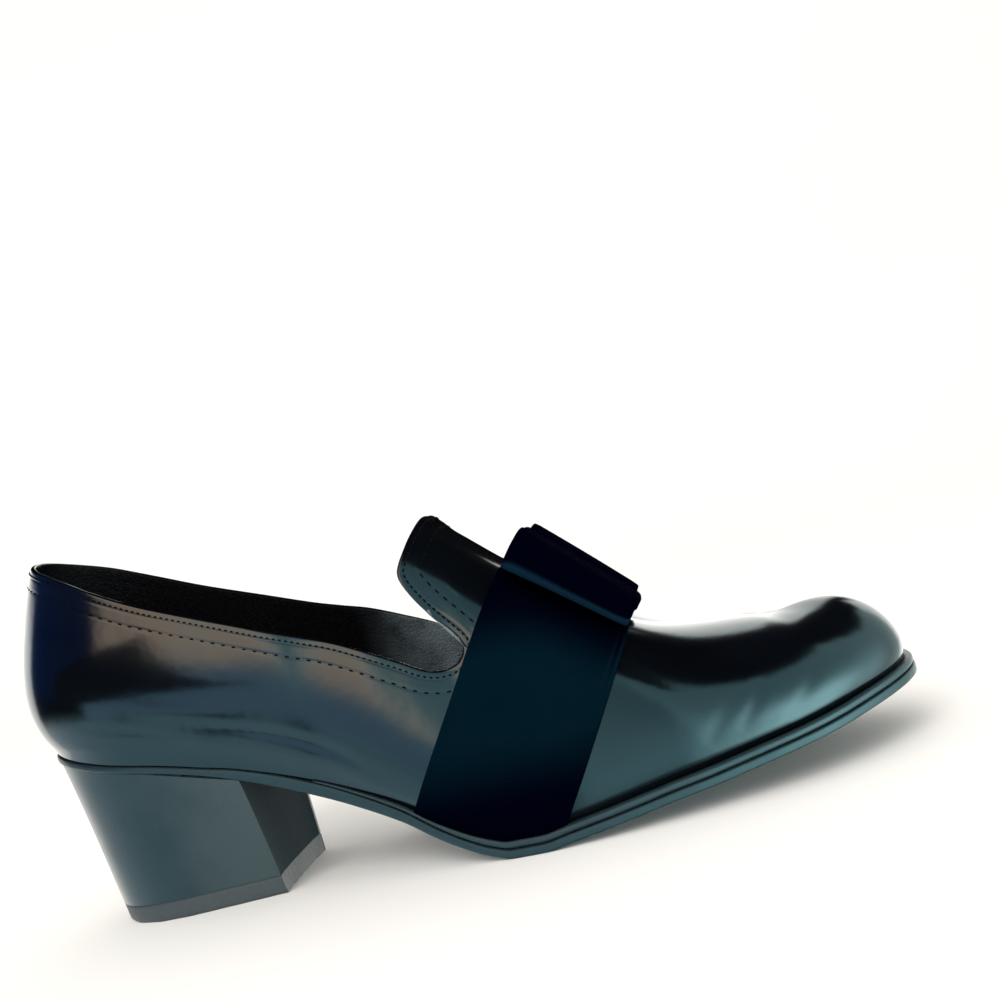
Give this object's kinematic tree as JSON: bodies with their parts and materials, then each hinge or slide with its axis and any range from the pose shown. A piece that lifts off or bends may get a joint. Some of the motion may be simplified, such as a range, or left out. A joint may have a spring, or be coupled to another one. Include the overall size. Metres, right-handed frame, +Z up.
{
  "type": "block-heel slip-on loafer, right shoe",
  "caption": "Right women's slip-on loafer in polished black leather with a covered block heel, a high tongue, an instep ribbon and a flat ribbon bow.",
  "frame": {"origin": "middle of the heel's bottom face, on the floor", "axes": "+X along the foot towards the toe, +Y towards the medial side, +Z up"},
  "size_m": [0.254, 0.0829, 0.1108],
  "materials": {
    "upper_leather": "gloss",
    "heel_leather": "satin",
    "sole_edge": "satin",
    "welt_edge": "satin",
    "top_piece_rubber": "matte",
    "footbed": "matte",
    "ribbon": "matte",
    "bow_ribbon": "matte"
  },
  "bodies": {
    "root": {"outsole": "sole_edge", "welt": "welt_edge", "heel_block": "heel_leather", "heel_top_piece": "top_piece_rubber", "insole": "footbed", "upper": "upper_leather", "instep_band": "ribbon", "bow_loop_lateral": "bow_ribbon", "bow_loop_medial": "bow_ribbon", "bow_knot": "bow_ribbon"}
  },
  "joints": []
}
